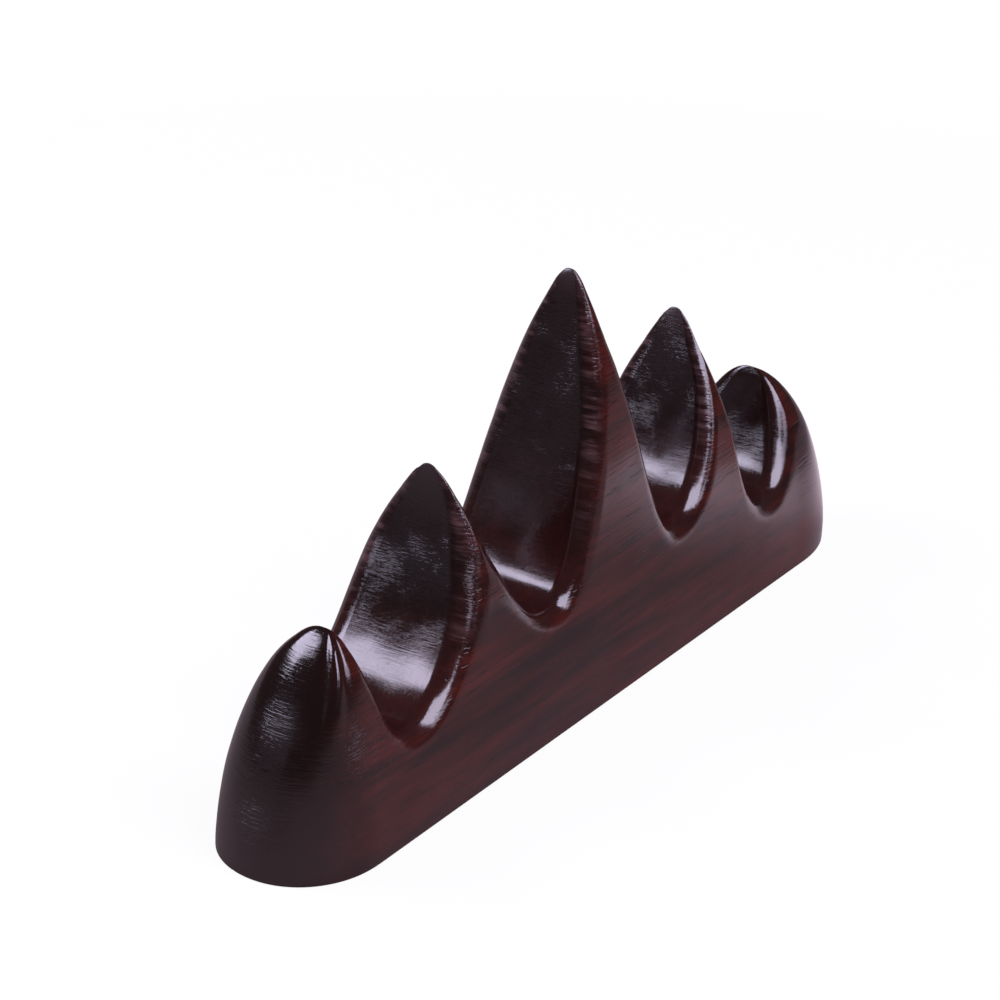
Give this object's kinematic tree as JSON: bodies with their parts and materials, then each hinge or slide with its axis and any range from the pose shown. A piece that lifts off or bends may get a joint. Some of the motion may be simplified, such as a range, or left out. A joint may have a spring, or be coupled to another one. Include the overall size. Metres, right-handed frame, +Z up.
{
  "type": "brush rest",
  "caption": "Mountain-shaped rest for calligraphy brushes, carved from one block of dark hardwood, with pointed peaks and rounded saddles over a flat base.",
  "frame": {"origin": "middle of the flat base, on the surface that the rest stands on", "axes": "+X along the row of peaks, +Y from the front to the back, +Z up"},
  "size_m": [0.14, 0.023, 0.0627],
  "materials": {
    "hardwood": "very dark reddish-brown hardwood, sanded and waxed to a soft gloss"
  },
  "bodies": {
    "root": {"carved_rest": "hardwood"}
  },
  "joints": []
}
